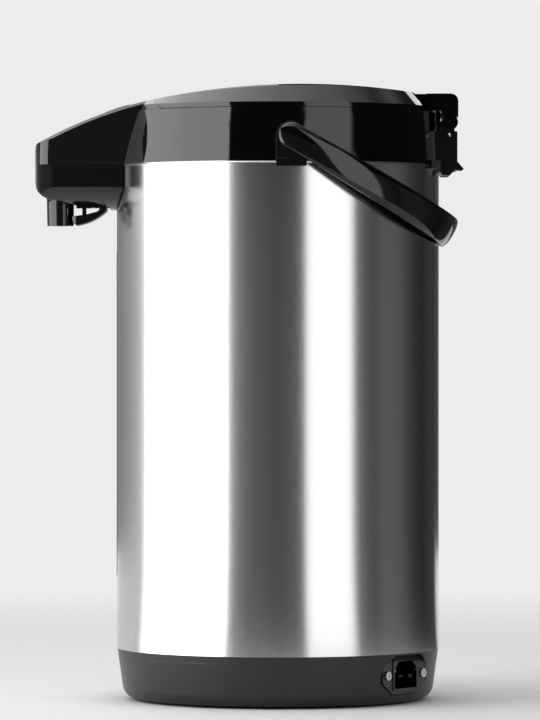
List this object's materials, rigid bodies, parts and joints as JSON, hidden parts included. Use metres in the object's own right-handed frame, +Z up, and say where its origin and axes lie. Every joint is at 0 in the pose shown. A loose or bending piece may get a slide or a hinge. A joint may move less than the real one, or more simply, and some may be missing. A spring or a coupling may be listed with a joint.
{
  "type": "electric thermo pot",
  "caption": "Upright cylindrical water heater and dispenser with a forward spout and cup lever, hinged lid, carrying handle and mains inlet.",
  "frame": {"origin": "centre of the rubber foot ring on the floor, on the body's axis", "axes": "+Z up, -X towards the spout, +X towards the lid hinge, -Y towards the mains inlet's side"},
  "size_m": [0.2828, 0.2384, 0.405],
  "materials": {
    "gloss_black": "high gloss black moulded plastic",
    "matt_black": "satin black moulded plastic",
    "brushed_steel": "vertical brushed stainless sheet",
    "pot_steel": "drawn stainless steel",
    "bright_steel": "plated steel",
    "rubber": "soft black rubber",
    "silicone": "translucent white silicone",
    "clear": "clear tube and window",
    "red_button": "red push button",
    "grey_button": "dark grey push button",
    "lamp": "red lamp lens",
    "circuit_board": "green circuit board with parts",
    "white_plastic": "white pump plastic",
    "motor_steel": "motor can",
    "mica": "mica band heater"
  },
  "bodies": {
    "root": {"base_shell": "matt_black", "bottom_cover": "matt_black", "bottom_screws": "bright_steel", "foot_ring": "rubber", "outer_jacket": "brushed_steel", "top_housing": "gloss_black", "spout_lower_housing": "gloss_black", "control_panel": "gloss_black", "lamp_lenses": "lamp", "control_board": "circuit_board", "nozzle": "matt_black", "outlet_tube": "silicone", "riser_tube": "clear", "lever_pin": "bright_steel", "lever_switch": "matt_black", "inner_pot": "pot_steel", "pot_seal": "silicone", "clamp_ring": "motor_steel", "clamp_screws": "bright_steel", "heater_band": "mica", "thermostat": "matt_black", "suction_tube": "silicone", "pump_housing": "white_plastic", "pump_motor": "motor_steel", "power_board": "circuit_board", "power_inlet": "gloss_black", "inlet_pins": "bright_steel", "inlet_screws": "bright_steel", "level_bezel": "gloss_black", "level_window": "clear", "handle_bracket_left": "matt_black", "handle_bracket_right": "matt_black", "handle_pivot_pins": "bright_steel", "hinge_bracket": "matt_black", "hinge_pin": "bright_steel", "release_pin": "bright_steel"},
    "lid": {"lid_shell": "gloss_black", "lid_inner_plate": "pot_steel", "lid_gasket": "silicone", "steam_vent": "matt_black"},
    "latch": {"lid_latch": "gloss_black"},
    "carry_handle": {"handle": "gloss_black"},
    "dispense_key": {"dispense_button": "red_button"},
    "reboil_key": {"reboil_button": "grey_button"},
    "unlock_key": {"unlock_button": "grey_button"},
    "lever": {"cup_lever": "matt_black"},
    "hinge_release": {"release_lever": "matt_black"},
    "pump_wheel": {"impeller": "white_plastic"}
  },
  "joints": [
    {"name": "lid_hinge", "type": "hinge", "parent": "root", "child": "lid", "pos_m": [0.113, 0, 0.38], "axis": [0, 1, 0], "range_deg": [0, 90]},
    {"name": "latch_slide", "type": "slide", "parent": "lid", "child": "latch", "axis": [1, 0, 0], "range_m": [0, 0.005], "stiffness_N_per_m": 200, "springref_m": -0.001},
    {"name": "handle_swing", "type": "hinge", "parent": "root", "child": "carry_handle", "pos_m": [0.0085, 0, 0.368], "axis": [0, -1, 0], "range_deg": [0, 190]},
    {"name": "dispense_press", "type": "slide", "parent": "root", "child": "dispense_key", "axis": [0.3945, 0, -0.9189], "range_m": [0, 0.0012], "stiffness_N_per_m": 250, "springref_m": -0.0005},
    {"name": "reboil_press", "type": "slide", "parent": "root", "child": "reboil_key", "axis": [0.2982, 0, -0.9545], "range_m": [0, 0.0012], "stiffness_N_per_m": 250, "springref_m": -0.0005},
    {"name": "unlock_press", "type": "slide", "parent": "root", "child": "unlock_key", "axis": [0.2982, 0, -0.9545], "range_m": [0, 0.0012], "stiffness_N_per_m": 250, "springref_m": -0.0005},
    {"name": "lever_press", "type": "hinge", "parent": "root", "child": "lever", "pos_m": [-0.1147, 0, 0.3267], "axis": [0, 1, 0], "range_deg": [0, 5], "stiffness_Nm_per_rad": 0.05, "springref_deg": -5.73},
    {"name": "release_press", "type": "hinge", "parent": "root", "child": "hinge_release", "pos_m": [0.1127, 0, 0.3714], "axis": [0, 1, 0], "range_deg": [0, 6], "stiffness_Nm_per_rad": 0.05, "springref_deg": -5.73},
    {"name": "pump_spin", "type": "hinge", "parent": "root", "child": "pump_wheel", "pos_m": [-0.045, 0, 0.0345], "axis": [0, 0, 1], "continuous": true}
  ]
}
